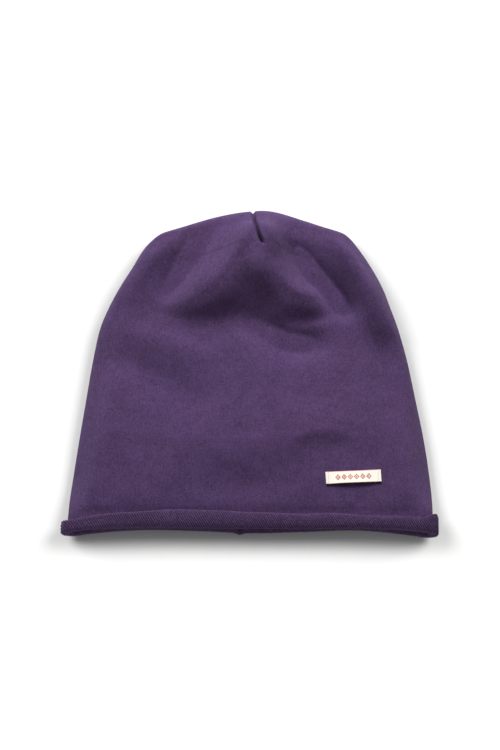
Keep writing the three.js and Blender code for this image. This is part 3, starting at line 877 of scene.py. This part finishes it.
def jersey_loops():
    """The looped side of the jersey, where it lies flat or under the loops that stand out."""
    sheen = {"Sheen_Weight": 0.1, "Sheen_Roughness": 0.5, "Sheen_Tint": JERSEY_SHEEN}
    finish = Finish("jersey loops", Roughness=1, Specular_IOR_Level=0.15, **sheen)
    across, along = finish.cloth_place(PATTERN)
    place = finish.object_place()
    # The rows lean as those of the loops that stand out do.
    row = (across * (1 / LOOP["wale"]) + along * (LOOP["slant"] / LOOP["course"])).fraction()
    ridge = (row * math.pi).sine()
    step = (along * (1 / LOOP["course"])).fraction()
    loop = ridge * (0.5 + 0.5 * (step * math.pi).sine())
    fuzz = finish.noise(place, scale=1900, detail=3, roughness=0.7)
    patches = finish.noise(place, scale=60)
    # The rows' ridges are lighter and the gaps between them darker: painted light and painted shade.
    tone = 0.2 + 0.5 * loop + 0.8 * (fuzz - 0.5) + 0.4 * (patches - 0.5)
    # Its colours are darker than the face's: painted shade under the loops that stand out.
    finish.set("Base Color", finish.between(tone, purple(0.2, 0.02), purple(0.8, 0.02)))
    finish.bump(loop + fuzz * 0.4, distance=0.0005)
    return finish.material


def loop_yarn():
    """The yarn of the loops that stand out of the rolled hem."""
    sheen = {"Sheen_Weight": 0.15, "Sheen_Roughness": 0.5, "Sheen_Tint": YARN_SHEEN}
    finish = Finish("loop yarn", Roughness=0.95, Specular_IOR_Level=0.18, **sheen)
    # Here the texture map says which loop a place is on, and how high up it.
    which, height = finish.cloth_place(1)
    fibres = finish.noise(finish.object_place(), scale=3600, roughness=0.6)
    # Higher up a loop is lighter: painted light on its top and painted shade at its foot.
    tone = 0.2 + 0.5 * height + 0.4 * (which - 0.5) + 0.8 * (fibres - 0.5)
    finish.set("Base Color", finish.between(tone, purple(0.3, 0.02), purple(2, 0.02)))
    finish.bump(fibres, distance=0.00012)
    return finish.material


def woven_tape():
    """Cream woven tape with thin red edges and a row of woven red lozenges."""
    finish = Finish("woven tape", Roughness=0.75, Sheen_Weight=0.1)
    across, along = finish.cloth_place(LABEL["width"])
    half = LABEL["width"] / 2
    # x and y are the middle of the woven dot that a place lies in.
    x = (across - half).snapped(TAPE["dot"]) + TAPE["dot"] / 2
    y = (along - half).snapped(TAPE["dot"]) + TAPE["dot"] / 2
    # A lozenge's value is 0 at its middle and about 1 at its corners. It has a line round it and a dot in it.
    lozenge = abs((x / TAPE["spacing"]).fraction() - 0.5) * (TAPE["spacing"] / TAPE["half_wide"])
    lozenge = lozenge + abs(y) / TAPE["half_high"]
    line = abs(lozenge - 0.8).below(0.22, soft=0.03)
    dot = lozenge.below(0.34, soft=0.03)
    inside = abs(x).below(TAPE["row"], soft=0.01)
    ornament = line.most(dot) * inside
    selvage = (LABEL["height"] / 2 - abs(along - half)).below(TAPE["red_edge"], soft=0.06)
    warp = (across * (math.pi / TAPE["warp"])).sine()
    weft = (along * (math.pi / TAPE["weft"])).sine()
    weave = abs(warp * weft)
    fuzz = finish.noise(finish.object_place(), scale=1500)
    # The weave is darker where its threads dip: painted shade between them.
    ground = finish.between(0.35 + 0.4 * weave + 0.6 * (fuzz - 0.5), *CREAM)
    red = finish.between(fuzz, *RED)
    finish.set("Base Color", finish.between((ornament * 0.9).most(selvage * 0.8), ground, red))
    finish.bump(weave * 0.7 + fuzz * 0.4 + ornament * 0.5, distance=0.00012)
    return finish.material


def label_yarn():
    """The beige sewing thread of the label."""
    finish = Finish("label thread", Roughness=0.6, Sheen_Weight=0.1)
    fibres = finish.noise(finish.object_place(), scale=2600)
    finish.set("Base Color", finish.between(fibres, *BEIGE))
    finish.bump(fibres, distance=0.00008)
    return finish.material


def paper():
    finish = Finish("studio paper", Roughness=0.9, Specular_IOR_Level=0.1)
    grain = finish.noise(finish.object_place(), scale=90)
    finish.set("Base Color", finish.between(grain, *PAPER))
    return finish.material


def put_on(made, *materials):
    for material in materials:
        made.data.materials.append(material)


def make_floor():
    bpy.ops.mesh.primitive_plane_add(size=FLOOR["size"], location=(0, 0, FLOOR["z"]))
    floor = bpy.context.object
    floor.name = "floor"
    bpy.ops.object.transform_apply(location=True, rotation=False, scale=False)
    put_on(floor, paper())
    return floor


def set_up(made, place, target):
    """Puts a light or the camera into the scene at its place, turned to its target."""
    made.location = place
    made.rotation_euler = (Vector(target) - Vector(place)).to_track_quat("-Z", "Y").to_euler()
    bpy.context.scene.collection.objects.link(made)


def area_light(name, place, target, size, power):
    data = bpy.data.lights.new(name, "AREA")
    data.shape = "RECTANGLE"
    data.size, data.size_y = size
    data.energy = power
    light = bpy.data.objects.new(name, data)
    set_up(light, place, target)
    return light


def lit_only(light, lit):
    """Lets a light shine on some objects only."""
    group = bpy.data.collections.new("lit_by_" + light.name)
    for made in lit:
        group.objects.link(made)
    light.light_linking.receiver_collection = group


def make_lights(pieces, hem_pieces, floor):
    world = bpy.data.worlds.new("studio")
    world.use_nodes = True
    world.node_tree.nodes["Background"].inputs["Color"].default_value = (1, 1, 1, 1)
    world.node_tree.nodes["Background"].inputs["Strength"].default_value = SKY
    bpy.context.scene.world = world
    # The window beyond the top edge shades the cloth, but would throw a long shadow on the floor. The two
    # softboxes give the floor a soft shadow all round instead, and the fill lightens the hem's near side.
    lit = {"window": pieces, "softbox_left": [floor], "softbox_right": [floor], "fill": hem_pieces}
    for name, place, target, size, power in LIGHTS:
        lit_only(area_light(name, place, target, size, power), lit[name])


def make_camera():
    data = bpy.data.cameras.new("camera")
    data.lens = CAMERA["lens"]
    data.sensor_width = CAMERA["sensor"]
    camera = bpy.data.objects.new("camera", data)
    set_up(camera, CAMERA["place"], CAMERA["target"])
    bpy.context.scene.camera = camera


face = jersey_face()
looped = jersey_loops()
crown = make_crown(face, looped)
hem_points, hem_turns, mouth_length = hem_grid()
hem = make_hem(hem_points, mouth_length, face, looped)
loops = make_loops(hem_points, hem_turns, mouth_length)
label = make_label(woven_tape())
label_thread = make_label_thread()

put_on(loops, loop_yarn())
put_on(label_thread, label_yarn())

for piece in (crown, hem, loops, label, label_thread):
    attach(piece, "root")
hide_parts("crown")
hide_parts("rolled_hem")
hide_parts("label")

floor = make_floor()
make_lights([crown, hem, loops, label, label_thread], [hem, loops], floor)
make_camera()
bpy.context.scene.view_settings.view_transform = "Standard"
